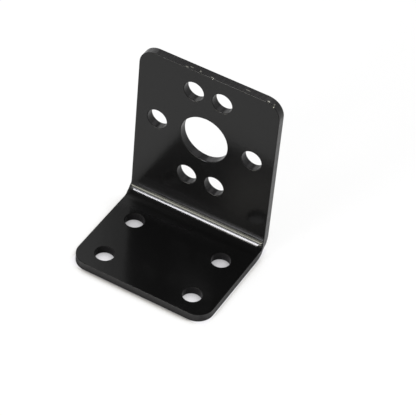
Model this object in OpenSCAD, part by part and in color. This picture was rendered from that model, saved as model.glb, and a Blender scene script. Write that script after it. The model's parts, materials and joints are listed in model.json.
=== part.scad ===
// Motor mounting bracket: one strip of sheet steel, folded once into an L.
// X runs across the sheet, the base reaches towards -Y and the motor plate stands up along +Z.
// The origin is at the middle of the footprint, on the underside of the base.

/* [Sheet] */
// Width of the strip
bracket_w = 24.7; // [22.5:0.1:40]
// Thickness of the sheet
sheet_t = 1.5; // [1:0.1:2.5]
// Inside radius of the fold
bend_r = 2.2; // [1:0.1:3.5]
// Radius that softens every cut edge
edge_r = 0.1; // [0.05:0.05:0.3]

/* [Fold ends] */
// How far the inside of the fold swells past each side
swell = 0.15; // [0.05:0.05:0.3]
// How far the outside of the fold is drawn in at each side
neck = 0.1; // [0.05:0.05:0.3]
// How far the inside of the fold rolls back at each side
curl = 0.2; // [0.05:0.05:0.3]
// Length along the fold over which its inside rolls back
curl_reach = 1.3; // [0.8:0.1:1.8]

/* [Motor plate] */
// Radius of the two upper corners
plate_corner_r = 2.8; // [1.5:0.1:5]
// Height of the motor shaft above the underside
shaft_h = 18.6; // [16:0.1:20]
// Diameter of the bore for the motor's boss
bore_d = 8.4; // [5:0.1:11]
// Distance between the two holes level with the shaft
side_span = 17; // [14:0.1:19]
// Distance across between the holes of a pair
pair_span_x = 5; // [4.5:0.1:8]
// Height from the lower pair to the upper pair
pair_span_z = 17.3; // [16:0.1:19.5]
// Height of the plate's top edge above the upper pair
top_margin = 4.15; // [3:0.05:15]

/* [Base] */
// Depth from the plate's back face to the front edge
base_d = 20.2; // [19.5:0.1:35]
// Radius of the two front corners
base_corner_r = 2.9; // [1.5:0.1:5]
// Distance between the holes of a row
base_span_x = 16; // [10:0.1:18]
// Distance from the front row to the rear row
base_span_y = 9; // [6:0.1:9.5]
// Distance from the front edge to the front row
front_setback = 3.75; // [3:0.05:4]

/* [Screws] */
// Diameter of the screws that hold the motor and the base
screw_d = 3; // [2:0.5:3]
// Play round a motor screw, on the diameter
motor_play = 0.5; // [0.2:0.05:0.7]
// Play round a base screw, on the diameter
base_play = 0.2; // [0.1:0.05:0.5]

/* [Hidden] */
$fn = 64;

paint = [0.1, 0.1, 0.11];
fold_r = bend_r + sheet_t;
plate_h = shaft_h + pair_span_z / 2 + top_margin;
motor_hole_d = screw_d + motor_play;
base_hole_d = screw_d + base_play;
back_y = base_d / 2;
plate_mid_y = back_y - sheet_t / 2;
front_row_y = front_setback - base_d / 2;
// A cutter reaches this far past each face of the sheet
overcut = 0.5;
// Swelling and neck each reach this far round their middle, on the side of the fold
end_reach = 0.6 * sheet_t;
// The cutter that rolls the fold's end back starts this far off the inside
curl_start = 0.03;

// Centres of the motor screw holes, across the plate and above the shaft
motor_holes = [
    for (side = [-1, 1]) [side * side_span / 2, 0],
    for (row = [-1, 1], side = [-1, 1]) [side * pair_span_x / 2, row * pair_span_z / 2],
];

// Centres of the base holes, across the base and back from the front row
base_holes = [for (row = [0, 1], side = [-1, 1]) [side * base_span_x / 2, row * base_span_y]];

// Radius of the arc or sphere that rises by depth over reach
function arc_r(reach, depth) = (reach * reach + depth * depth) / (2 * depth);

// Section of the rim: sheet from the axis out to a softened edge
module rim_section(reach) {
    translate([0, -sheet_t / 2]) square([reach - edge_r, sheet_t]);
    translate([0, edge_r - sheet_t / 2]) square([reach, sheet_t - 2 * edge_r]);
    for (face = [-1, 1])
        translate([reach - edge_r, face * (sheet_t / 2 - edge_r)]) circle(edge_r);
}

// Section across the whole strip, both edges softened
module strip_section() {
    rim_section(bracket_w / 2);
    mirror([1, 0]) rim_section(bracket_w / 2);
}

// Flat leg along +Y from the fold, with two round corners at its free end
module leg(reach, corner_r) {
    straight = reach - corner_r;
    corner_x = bracket_w / 2 - corner_r;
    translate([0, straight, 0]) rotate([90, 0, 0]) linear_extrude(straight) strip_section();
    translate([-corner_x, straight, 0]) rotate([90, 0, 90]) linear_extrude(2 * corner_x) rim_section(corner_r);
    translate([corner_x, straight, 0]) rotate_extrude(angle = 90) rim_section(corner_r);
    translate([-corner_x, straight, 0]) rotate([0, 0, 90]) rotate_extrude(angle = 90) rim_section(corner_r);
}

// Quarter turn of the strip about the fold's axis, from the base up to the plate
module fold() {
    translate([0, back_y - fold_r, fold_r]) rotate([0, 90, 0])
        rotate_extrude(angle = 90) translate([bend_r + sheet_t / 2, 0]) rotate(90) strip_section();
}

// Places a shape on the fold's axis at its right-hand end, with X outwards and Y towards mid bend
module at_fold_end() {
    translate([bracket_w / 2, back_y - fold_r, fold_r]) rotate([-45, 0, 0]) children();
}

// Metal that the bend squeezes out past the side, at the inside of the fold
module swelling() {
    dome_r = arc_r(end_reach, swell);
    at_fold_end() intersection() {
        translate([swell - dome_r, bend_r, 0]) sphere(dome_r);
        translate([-2 * edge_r, 0, 0]) rotate([0, 90, 0]) rotate_extrude()
            translate([bend_r + edge_r / 2, 0]) square([sheet_t - 2 * edge_r, overcut + swell]);
    }
}

// Hollow that the bend draws into the side, at the outside of the fold
module necking() {
    dome_r = arc_r(end_reach, neck);
    at_fold_end() translate([dome_r - neck, fold_r, 0]) sphere(dome_r);
}

// Bell mouth that rolls the inside of the fold back towards the side, most at mid bend
module rolling() {
    mouth_r = bend_r / 2;
    lip_r = arc_r(curl_reach, curl);
    at_fold_end() translate([-curl_reach, bend_r - mouth_r - curl_start, 0]) rotate([0, 90, 0])
        rotate_extrude() difference() {
            square([mouth_r + sheet_t, curl_reach + swell + overcut]);
            translate([mouth_r + lip_r, 0]) circle(lip_r);
        }
}

// Round hole through the sheet, along Z, with both rims softened
module hole_cutter(d) {
    rotate_extrude() difference() {
        translate([0, -sheet_t / 2 - overcut]) square([d / 2 + edge_r, sheet_t + 2 * overcut]);
        translate([d / 2, edge_r - sheet_t / 2]) square([2 * edge_r, sheet_t - 2 * edge_r]);
        for (face = [-1, 1])
            translate([d / 2 + edge_r, face * (sheet_t / 2 - edge_r)]) circle(edge_r);
    }
}

// Everything cut through the motor plate
module motor_cuts() {
    translate([0, plate_mid_y, shaft_h]) rotate([90, 0, 0]) {
        hole_cutter(bore_d);
        for (hole = motor_holes) translate(hole) hole_cutter(motor_hole_d);
    }
}

// Everything cut through the base
module base_cuts() {
    translate([0, front_row_y, sheet_t / 2])
        for (hole = base_holes) translate(hole) hole_cutter(base_hole_d);
}

module bracket() {
    color(paint) difference() {
        union() {
            translate([0, back_y - fold_r, sheet_t / 2]) rotate([0, 0, 180]) leg(base_d - fold_r, base_corner_r);
            translate([0, plate_mid_y, fold_r]) rotate([90, 0, 0]) leg(plate_h - fold_r, plate_corner_r);
            fold();
            for (side = [0, 1]) mirror([side, 0, 0]) swelling();
        }
        for (side = [0, 1]) mirror([side, 0, 0]) {
            necking();
            rolling();
        }
        motor_cuts();
        base_cuts();
    }
}

bracket();
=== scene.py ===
import json
import math

import bpy
from mathutils import Matrix, Vector


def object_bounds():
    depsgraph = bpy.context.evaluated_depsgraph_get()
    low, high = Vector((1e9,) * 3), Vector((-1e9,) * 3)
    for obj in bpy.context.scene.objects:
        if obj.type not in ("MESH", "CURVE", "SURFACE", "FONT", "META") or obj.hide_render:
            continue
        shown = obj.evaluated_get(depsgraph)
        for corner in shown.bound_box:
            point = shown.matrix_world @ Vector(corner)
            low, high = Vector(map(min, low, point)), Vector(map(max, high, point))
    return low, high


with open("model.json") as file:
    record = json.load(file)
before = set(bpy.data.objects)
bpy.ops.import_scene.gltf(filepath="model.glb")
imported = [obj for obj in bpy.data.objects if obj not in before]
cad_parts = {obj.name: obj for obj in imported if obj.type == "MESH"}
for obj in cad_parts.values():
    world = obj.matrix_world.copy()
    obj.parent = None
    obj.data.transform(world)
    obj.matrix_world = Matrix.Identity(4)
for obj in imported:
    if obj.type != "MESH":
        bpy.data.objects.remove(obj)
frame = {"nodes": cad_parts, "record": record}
cad_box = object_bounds()

# Places on the object, from its record and its box. Lengths are in metres unless a comment says otherwise.
MM = 0.001
MOUNTS = {mount["name"]: mount for mount in frame["record"]["mounts"]}
PLATE_FRONT = MOUNTS["motor_face"]["pos_m"][1]
PLATE_TOP = cad_box[1].z
BASE_TOP = MOUNTS["base_top"]["pos_m"][2]

# The base's holes: their radius, how far they are from the middle, and their two rows
HOLES = MOUNTS["base_screws"]
HOLE_RADIUS = HOLES["dims"]["hole_r_mm"] * MM
HOLE_X = HOLES["dims"]["spacing_x_mm"] * MM / 2
HALF_ROW = HOLES["dims"]["spacing_y_mm"] * MM / 2
FRONT_ROW_Y = HOLES["pos_m"][1] - HALF_ROW
REAR_ROW_Y = HOLES["pos_m"][1] + HALF_ROW

# Inside radius of the fold, and its axis along X
FOLD_RADIUS = 0.0022
FOLD_Y = PLATE_FRONT - FOLD_RADIUS
FOLD_Z = BASE_TOP + FOLD_RADIUS

# Camera at the photograph's place: angles in degrees, and a long lens and its sensor in millimetres
CAMERA_AZIMUTH = 25.947
CAMERA_ELEVATION = 43.767
CAMERA_ROLL = 5.807
CAMERA_DISTANCE = 0.34752
CAMERA_AIM = Vector((-0.00031, 0.0132, 0.0))
CAMERA_LENS = 184.43
CAMERA_CLIP = (0.01, 20.0)
SENSOR_WIDTH = 36.0

WHITE = (1, 1, 1, 1)

# Paint on the sheet's two faces, on its cut edges, and where it is rubbed off
FACE_COLOUR = (0.0032, 0.0032, 0.0032, 1)
CUT_COLOUR = (0.0095, 0.0092, 0.0095, 1)
WORN_COLOUR = (0.36, 0.355, 0.31, 1)
PAINT_IOR = 1.4
FACE_ROUGHNESS = 0.145
CUT_ROUGHNESS = 0.22
# Specular level of the paint, and the share of it on the walls of the base's holes
GLOSS = 0.5
HOLE_WALL_GLOSS = 0.25
# How closely the surface faces through the sheet, at least on a face and at most on a cut edge
FACE_AND_CUT = (0.95, 0.4)

# Orange peel of the paint: how fine its waves are, how deep, and how strongly they show
PEEL_SCALE = 900.0
PEEL_DEPTH = 0.0002
PEEL_STRENGTH = 0.03
# Streaks of the punch, likewise, and the share by which they are drawn out through the sheet
STREAK_SCALE = 2200.0
STREAK_DEPTH = 0.0001
STREAK_STRENGTH = 0.5
STREAK_STRETCH = 0.88

# Roughness at the foot of the fold, on the left and on the right, and where in X it changes
FOOT_ROUGHNESS = (0.35, 0.15)
FOOT_X = (-0.004, 0.008)
# Where that foot starts and where it is full: height over the base, and distance in front of the fold's axis
FOOT_HEIGHT = (0.00045, 0.0001)
FOOT_FORWARD = (0.0026, 0.0006)

# Specks where the top edge is rubbed, in millimetres: place in X, behind the plate's front and below its top,
# then half size along X and through the sheet
WEAR = (
    ((-4.1, 0.2, 0.0), (0.3, 0.12)),
    ((-3.4, 0.5, 0.0), (0.3, 0.1)),
    ((-1.8, 0.4, 0.0), (0.16, 0.2)),
    ((0.3, 0.2, 0.0), (0.2, 0.14)),
    ((0.6, 0.1, 0.0), (0.1, 0.1)),
    ((6.3, 0.7, 0.0), (0.5, 0.08)),
    ((10.1, 0.3, 0.05), (0.24, 0.15)),
    ((11.0, 0.5, 0.4), (0.1, 0.2)),
    ((11.1, 0.1, 0.5), (0.12, 0.16)),
)
SPECK_DEPTH = 0.0002
# A speck is whole within this share of its size
SPECK_CORE = 0.7
# How far the specks' outlines wander, and how finely
SPECK_JITTER = 0.0001
SPECK_SCALE = 9000.0

# Table: its size, its colour in the light, and how much of its look is plain white with painted shadow
# instead
TABLE_REACH = 3.0
TABLE_COLOUR = (0.85, 0.85, 0.84, 1)
TABLE_PLAIN = 0.9
# A painted contact shadow darkens it where the object hides the sky within this reach, a little more in front
# and on the left, and tints it warm
CONTACT_REACH = 0.014
CONTACT_LEAN = (0.1, 0.12, 1.0)
CONTACT_SHADOW_COLOUR = (1, 0.92, 0.8, 1)
# Share of open sky at which the painted shadow makes it black and at which it is white, as it is seen and as
# it is mirrored
SEEN_SKY = (0.43, 0.67)
MIRRORED_SKY = (0.5, 0.86)
# Painted shade on the table under the holes: its cool tint, and its brightness under the front and the rear
# row for a share of sky
HOLE_SHADE_COLOUR = (0.98, 0.97, 1, 1)
HOLE_GAIN = (1.48, 1.25)
# What a reflection shows of the open table with its painted contact shadow, and of the painted shade on the
# table in the left and right holes, where 1 is white
TABLE_IN_REFLECTIONS = 0.75
HOLES_IN_REFLECTIONS = (0.08, 0.33)

# Reflections see pale walls up to about 30 degrees, a dim ceiling above and darkness overhead.
# Each gives way to the next between two heights, where 0 is level and 1 is straight up.
WALLS_TO_CEILING = (0.5, 0.66)
WALL_AND_CEILING = (0.65, 0.06)
CEILING_TO_TOP = (0.7, 0.86)
TOP_SHARE = 0.1
# The soft light comes mostly from above, and it grows between these heights
SOFT_HEIGHTS = (0.3, 0.7)
SOFT_LEVELS = (0.15, 1.2)


def direction(azimuth, elevation):
    """Unit vector towards a place round the object: azimuth 0 is the front, elevation is above the table."""
    a = math.radians(azimuth)
    e = math.radians(elevation)
    return Vector((math.sin(a) * math.cos(e), -math.cos(a) * math.cos(e), math.sin(e)))


def facing(back, roll=0.0):
    """Rotation of a lamp or camera that looks along -back, level and then rolled."""
    right = Vector((0, 0, 1)).cross(back).normalized()
    up = back.cross(right)
    level = Matrix((right, up, back)).transposed()
    return level @ Matrix.Rotation(math.radians(roll), 3, "Z")


def add_camera():
    data = bpy.data.cameras.new("camera")
    data.sensor_width = SENSOR_WIDTH
    data.lens = CAMERA_LENS
    data.clip_start, data.clip_end = CAMERA_CLIP
    camera = bpy.data.objects.new("camera", data)
    back = direction(CAMERA_AZIMUTH, CAMERA_ELEVATION)
    place = Matrix.Translation(CAMERA_AIM + back * CAMERA_DISTANCE)
    camera.matrix_world = place @ facing(back, CAMERA_ROLL).to_4x4()
    bpy.context.scene.collection.objects.link(camera)
    bpy.context.scene.camera = camera


class Shader:
    """Short way to place and join nodes of one node tree."""

    def __init__(self, tree):
        self.tree = tree
        tree.nodes.clear()

    def node(self, kind, inputs=None, **settings):
        """New node with these settings. An input is a value, or another node's output to join."""
        made = self.tree.nodes.new(kind)
        for name, value in settings.items():
            setattr(made, name, value)
        for name, value in (inputs or {}).items():
            if isinstance(value, bpy.types.NodeSocket):
                self.tree.links.new(value, made.inputs[name])
            else:
                made.inputs[name].default_value = value
        return made

    def math(self, operation, *values, clamp=False):
        inputs = dict(enumerate(values))
        return self.node("ShaderNodeMath", operation=operation, use_clamp=clamp, inputs=inputs).outputs[0]

    def vector(self, operation, *values):
        made = self.node("ShaderNodeVectorMath", operation=operation, inputs=dict(enumerate(values)))
        return made.outputs["Vector"]

    def length(self, operation, *values):
        """Number that a vector operation gives, such as a dot product or a length."""
        made = self.node("ShaderNodeVectorMath", operation=operation, inputs=dict(enumerate(values)))
        return made.outputs["Value"]

    def scaled(self, vector, factor):
        made = self.node("ShaderNodeVectorMath", operation="SCALE", inputs={0: vector, "Scale": factor})
        return made.outputs["Vector"]

    def split(self, vector):
        return self.node("ShaderNodeSeparateXYZ", inputs={0: vector}).outputs

    def joined(self, x, y, z):
        return self.node("ShaderNodeCombineXYZ", inputs={"X": x, "Y": y, "Z": z}).outputs[0]

    def noise(self, place, scale, detail):
        inputs = {"Vector": place, "Scale": scale, "Detail": detail}
        return self.node("ShaderNodeTexNoise", inputs=inputs).outputs

    def ramp(self, value, start, end, low=0.0, high=1.0, interpolation="LINEAR"):
        """Number that goes from low to high while the value goes from start to end."""
        made = self.node(
            "ShaderNodeMapRange",
            interpolation_type=interpolation,
            inputs={"Value": value, "From Min": start, "From Max": end, "To Min": low, "To Max": high},
        )
        return made.outputs[0]

    def pick(self, factor, low, high):
        """Number that goes from low to high with the factor."""
        return self.node("ShaderNodeMix", data_type="FLOAT", inputs={0: factor, 2: low, 3: high}).outputs[0]

    def blend(self, factor, low, high):
        """Colour that goes from low to high with the factor."""
        return self.node("ShaderNodeMix", data_type="RGBA", inputs={0: factor, 6: low, 7: high}).outputs[2]


def through_sheet(s, place):
    """Direction through the sheet: level in the plate, upright in the base, turning in the fold."""
    at = s.split(place)
    behind = s.math("MAXIMUM", s.math("SUBTRACT", at["Y"], FOLD_Y), 0.0)
    below = s.math("MINIMUM", s.math("SUBTRACT", at["Z"], FOLD_Z), 0.0)
    return s.vector("NORMALIZE", s.joined(0.0, behind, below))


def cut_edges(s, way):
    """1 where the surface was cut or punched through the sheet, 0 on the sheet's own two faces."""
    normal = s.node("ShaderNodeNewGeometry").outputs["True Normal"]
    return s.ramp(s.math("ABSOLUTE", s.length("DOT_PRODUCT", normal, way)), *FACE_AND_CUT)


def rounded_rims(s, cut):
    """1 half way round the rim between a face and a cut edge, 0 on both."""
    between = s.math("MULTIPLY", cut, s.math("SUBTRACT", 1.0, cut))
    peak = 0.25
    return s.math("DIVIDE", between, peak, clamp=True)


def punch_streaks(s, place, way):
    """Fine height that varies round a hole or along an edge, but hardly through the sheet."""
    inward = s.scaled(way, s.length("DOT_PRODUCT", place, way))
    flat = s.vector("SUBTRACT", place, s.scaled(inward, STREAK_STRETCH))
    return s.noise(flat, STREAK_SCALE, detail=4.0)["Fac"]


def wear(s, place):
    """1 where the paint is rubbed off the plate's top edge."""
    wander = s.scaled(s.noise(place, SPECK_SCALE, detail=3.0)["Color"], 2 * SPECK_JITTER)
    wander = s.vector("SUBTRACT", wander, (SPECK_JITTER, SPECK_JITTER, SPECK_JITTER))
    place = s.vector("ADD", place, wander)
    total = 0.0
    for (x, behind, below), (along, through) in WEAR:
        centre = (x * MM, PLATE_FRONT + behind * MM, PLATE_TOP - below * MM)
        size = (along * MM, through * MM, SPECK_DEPTH)
        offset = s.vector("DIVIDE", s.vector("SUBTRACT", place, centre), size)
        total = s.math("MAXIMUM", total, s.ramp(s.length("LENGTH", offset), 1.0, SPECK_CORE))
    return total


def fold_foot(s, place):
    """1 on the base close to the fold, where the paint is less smooth."""
    at = s.split(place)
    low = s.ramp(at["Z"], *(BASE_TOP + height for height in FOOT_HEIGHT))
    near = s.ramp(at["Y"], *(FOLD_Y - forward for forward in FOOT_FORWARD))
    return s.math("MULTIPLY", low, near)


def base_holes(s, place):
    """1 in the middle of the base, where every cut surface is the wall of a hole."""
    at = s.split(place)
    margin = HOLE_RADIUS / 3
    low = s.math("LESS_THAN", at["Z"], BASE_TOP + margin)
    inside_x = s.math("LESS_THAN", s.math("ABSOLUTE", at["X"]), HOLE_X + HOLE_RADIUS + margin)
    inside_y = s.math("GREATER_THAN", at["Y"], FRONT_ROW_Y - HOLE_RADIUS - margin)
    return s.math("MULTIPLY", low, s.math("MULTIPLY", inside_x, inside_y))


def paint_bumps(s, place, way, cut):
    """Normal of the paint: orange peel everywhere, and streaks where the sheet was cut."""
    peel = s.node(
        "ShaderNodeBump",
        inputs={
            "Height": s.noise(place, PEEL_SCALE, detail=2.0)["Fac"],
            "Strength": PEEL_STRENGTH,
            "Distance": PEEL_DEPTH,
        },
    )
    streaks = s.node(
        "ShaderNodeBump",
        inputs={
            "Height": punch_streaks(s, place, way),
            "Strength": s.math("MULTIPLY", cut, STREAK_STRENGTH),
            "Distance": STREAK_DEPTH,
            "Normal": peel.outputs["Normal"],
        },
    )
    return streaks.outputs["Normal"]


def paint_material():
    material = bpy.data.materials.new("black_paint")
    material.use_nodes = True
    s = Shader(material.node_tree)
    place = s.node("ShaderNodeTexCoord").outputs["Object"]
    way = through_sheet(s, place)
    cut = cut_edges(s, way)
    worn = wear(s, place)
    # The paint is thin and dull on the rounded rims, and less glossy on the walls of the base's holes
    walls = s.math("MULTIPLY", cut, base_holes(s, place))
    gloss = s.math("MULTIPLY", s.pick(rounded_rims(s, cut), GLOSS, 0.0), s.pick(walls, 1.0, HOLE_WALL_GLOSS))
    foot = s.ramp(s.split(place)["X"], *FOOT_X, *FOOT_ROUGHNESS)
    smooth = s.pick(fold_foot(s, place), FACE_ROUGHNESS, foot)
    paint = s.node(
        "ShaderNodeBsdfPrincipled",
        inputs={
            "Base Color": s.blend(worn, s.blend(cut, FACE_COLOUR, CUT_COLOUR), WORN_COLOUR),
            "Roughness": s.pick(s.math("MAXIMUM", cut, worn), smooth, CUT_ROUGHNESS),
            "IOR": PAINT_IOR,
            "Metallic": worn,
            "Specular IOR Level": gloss,
            "Normal": paint_bumps(s, place, way, cut),
        },
    )
    s.node("ShaderNodeOutputMaterial", inputs={"Surface": paint.outputs["BSDF"]})
    return material


def under_object(s, spot):
    """1 under the object, where the table is only seen through the base's holes."""
    half = (cad_box[1] - cad_box[0]) / 2
    within_x = s.math("LESS_THAN", s.math("ABSOLUTE", spot["X"]), half.x)
    within_y = s.math("LESS_THAN", s.math("ABSOLUTE", spot["Y"]), half.y)
    return s.math("MULTIPLY", within_x, within_y)


def open_sky(s):
    """Share of the sky that the table sees past the object."""
    reach = {"Distance": CONTACT_REACH, "Normal": s.joined(*CONTACT_LEAN)}
    return s.node("ShaderNodeAmbientOcclusion", samples=8, inputs=reach).outputs["AO"]


def floor_material():
    material = bpy.data.materials.new("table")
    material.use_nodes = True
    s = Shader(material.node_tree)
    ray = s.node("ShaderNodeLightPath").outputs
    mirrored = s.math("MAXIMUM", ray["Is Glossy Ray"], ray["Is Transmission Ray"])
    seen = s.math("MAXIMUM", ray["Is Camera Ray"], mirrored)
    spot = s.split(s.node("ShaderNodeTexCoord").outputs["Object"])
    under = under_object(s, spot)
    sky = open_sky(s)
    # As the camera sees it, with the painted contact shadow beside the object and painted shade under it
    beside = s.ramp(sky, *SEEN_SKY)
    # Painted shade under the holes, darker under the rear row
    gain = s.ramp(spot["Y"], FRONT_ROW_Y, REAR_ROW_Y, *HOLE_GAIN)
    white = s.pick(under, beside, s.math("MULTIPLY", sky, gain, clamp=True))
    tint = s.blend(under, s.blend(beside, CONTACT_SHADOW_COLOUR, WHITE), HOLE_SHADE_COLOUR)
    # As a reflection shows it, with the same painted contact shadow, and painted shade under the holes that
    # is darker towards the left
    clear = s.math("MULTIPLY", s.ramp(sky, *MIRRORED_SKY), TABLE_IN_REFLECTIONS)
    below = s.ramp(spot["X"], -HOLE_X, HOLE_X, *HOLES_IN_REFLECTIONS)
    strength = s.pick(mirrored, white, s.pick(under, clear, below))
    lit = s.node("ShaderNodeBsdfDiffuse", inputs={"Color": TABLE_COLOUR})
    plain = s.node("ShaderNodeEmission", inputs={"Color": tint, "Strength": strength})
    share = s.math("MULTIPLY", seen, TABLE_PLAIN)
    inputs = {0: share, 1: lit.outputs["BSDF"], 2: plain.outputs["Emission"]}
    mixed = s.node("ShaderNodeMixShader", inputs=inputs)
    s.node("ShaderNodeOutputMaterial", inputs={"Surface": mixed.outputs["Shader"]})
    return material


def add_floor():
    mesh = bpy.data.meshes.new("table")
    sides = (-TABLE_REACH, TABLE_REACH)
    mesh.from_pydata([(x, y, 0) for y in sides for x in sides], [], [(0, 1, 3, 2)])
    floor = bpy.data.objects.new("table", mesh)
    floor.location.z = cad_box[0].z
    mesh.materials.append(floor_material())
    bpy.context.scene.collection.objects.link(floor)


def add_world():
    world = bpy.data.worlds.new("studio")
    world.use_nodes = True
    bpy.context.scene.world = world
    s = Shader(world.node_tree)
    ray = s.node("ShaderNodeLightPath").outputs
    height = s.split(s.node("ShaderNodeTexCoord").outputs["Generated"])["Z"]
    walls = s.ramp(height, *WALLS_TO_CEILING, *WALL_AND_CEILING, interpolation="SMOOTHSTEP")
    mirrored = s.math("MULTIPLY", walls, s.ramp(height, *CEILING_TO_TOP, 1.0, TOP_SHARE))
    soft = s.ramp(height, *SOFT_HEIGHTS, *SOFT_LEVELS)
    level = s.pick(ray["Is Camera Ray"], s.pick(ray["Is Glossy Ray"], soft, mirrored), 1.0)
    back = s.node("ShaderNodeBackground", inputs={"Color": WHITE, "Strength": level})
    s.node("ShaderNodeOutputWorld", inputs={"Surface": back.outputs["Background"]})


def add_lamp(name, size, radiance, colour, place, rotation, shape="RECTANGLE"):
    """Flat lamp. Its radiance is what a mirror would show of it."""
    width, height = size
    data = bpy.data.lights.new(name, "AREA")
    data.shape = shape
    data.size = width
    data.size_y = height
    filled = math.pi / 4 if shape == "ELLIPSE" else 1.0
    data.energy = radiance * math.pi * width * height * filled
    data.color = colour
    lamp = bpy.data.objects.new(name, data)
    lamp.matrix_world = Matrix.Translation(place) @ rotation.to_4x4()
    bpy.context.scene.collection.objects.link(lamp)


def add_softbox(name, azimuth, elevation, distance, size, radiance, colour, shape="RECTANGLE", roll=0.0):
    """Lamp round the object, facing its middle."""
    back = direction(azimuth, elevation)
    middle = (cad_box[0] + cad_box[1]) / 2
    add_lamp(name, size, radiance, colour, middle + back * distance, facing(back, roll), shape)


def add_card(name, seen_from, way, reach, size, radiance, colour, shift=0.0, lift=0.0):
    """Small lamp close by, on the mirrored ray that leaves a point one way, then shifted left and lifted."""
    up = Vector((0, 0, 1))
    left = up.cross(way).normalized()
    place = seen_from + way * reach + left * shift + up * lift
    add_lamp(name, size, radiance, colour, place, facing(way.normalized()))


def add_softboxes():
    """Lamps in front, which the fold mirrors: a bright line and its halo, and a paler band over them."""
    add_softbox(
        "key",
        azimuth=-18.6,
        elevation=26.7,
        distance=0.5,
        size=(0.2, 0.084),
        radiance=36.0,
        colour=(0.97, 0.965, 1),
        shape="ELLIPSE",
        roll=-45,
    )
    add_softbox(
        "halo",
        azimuth=-18.6,
        elevation=25.6,
        distance=0.52,
        size=(0.24, 0.16),
        radiance=3.4,
        colour=(0.85, 0.84, 1),
        shape="ELLIPSE",
        roll=-40,
    )
    add_softbox(
        "low window",
        azimuth=-14.0,
        elevation=3.5,
        distance=1.2,
        size=(1.0, 0.2),
        radiance=11.0,
        colour=(1, 0.975, 0.82),
    )
    add_softbox(
        "tall window",
        azimuth=-22.0,
        elevation=10.0,
        distance=1.25,
        size=(1.4, 0.52),
        radiance=1.6,
        colour=(1, 1, 0.92),
    )


def add_cards():
    """Pale cards close by, each for one reflection."""
    # What the camera sees mirrored in the base lies this way
    back_way = Vector((-0.33, 0.645, 0.69))
    # Two behind the left side, which the base shows past the plate's edge and not through its holes
    plate_edge = Vector((-0.0109, PLATE_FRONT, 0.016))
    add_card(
        "inner card",
        seen_from=plate_edge,
        way=back_way,
        reach=0.08,
        size=(0.06, 0.09),
        radiance=0.38,
        colour=(1, 1, 1),
        shift=0.03,
    )
    add_card(
        "outer card",
        seen_from=plate_edge,
        way=back_way,
        reach=0.082,
        size=(0.06, 0.09),
        radiance=0.33,
        colour=(1, 1, 1),
        shift=0.0385,
    )
    # One over them, for the plate's top edge alone
    add_card(
        "upper card",
        seen_from=Vector((0, PLATE_FRONT, PLATE_TOP)),
        way=back_way,
        reach=0.08,
        size=(0.12, 0.02),
        radiance=1.3,
        colour=(1, 0.98, 1),
        shift=-0.03,
        lift=0.0144,
    )
    # One in front of the left side, which the base throws on to the lower right of the plate
    front_way = Vector((back_way.x, -back_way.y, back_way.z))
    add_card(
        "glow card",
        seen_from=Vector((0.0075, -0.003, BASE_TOP)),
        way=front_way,
        reach=0.06,
        size=(0.012, 0.009),
        radiance=10.5,
        colour=(1, 0.96, 0.9),
    )


add_camera()
add_floor()
add_world()
add_softboxes()
add_cards()

bracket = frame["nodes"]["bracket"]
bracket.data.materials.clear()
bracket.data.materials.append(paint_material())

bpy.context.scene.view_settings.view_transform = "Standard"
